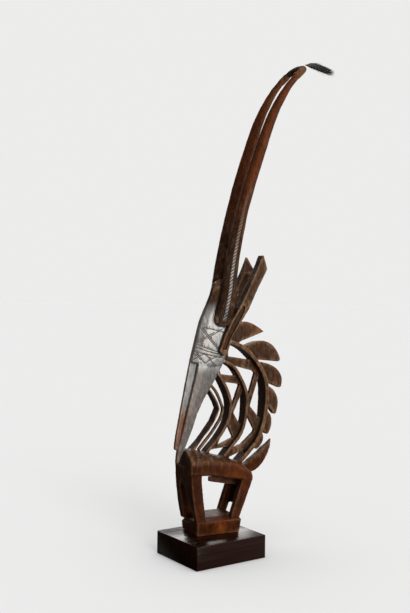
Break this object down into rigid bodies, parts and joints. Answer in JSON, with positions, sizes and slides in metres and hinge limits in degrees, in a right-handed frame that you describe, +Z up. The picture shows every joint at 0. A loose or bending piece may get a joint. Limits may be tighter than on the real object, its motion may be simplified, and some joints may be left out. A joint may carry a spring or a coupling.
{
  "type": "wooden crest headdress",
  "caption": "Carved wooden crest headdress in the form of a standing antelope with tall curved horns and an openwork mane, shown on a low polished wood plinth.",
  "frame": {"origin": "centre of the plinth's underside", "axes": "+Z up; the animal faces -Y, turned 10 degrees clockwise on the plinth seen from above; its left side is +X"},
  "size_m": [0.1419, 0.3294, 0.9895],
  "materials": {
    "carved_wood": "hand-carved, dark brown with worn edges",
    "plinth_wood": "stained near black, polished",
    "hair": "coarse black hair",
    "thread": "twisted reddish thread"
  },
  "bodies": {
    "root": {"headdress": "carved_wood", "plinth": "plinth_wood", "hair_tuft": "hair", "tip_binding": "thread"}
  },
  "joints": []
}
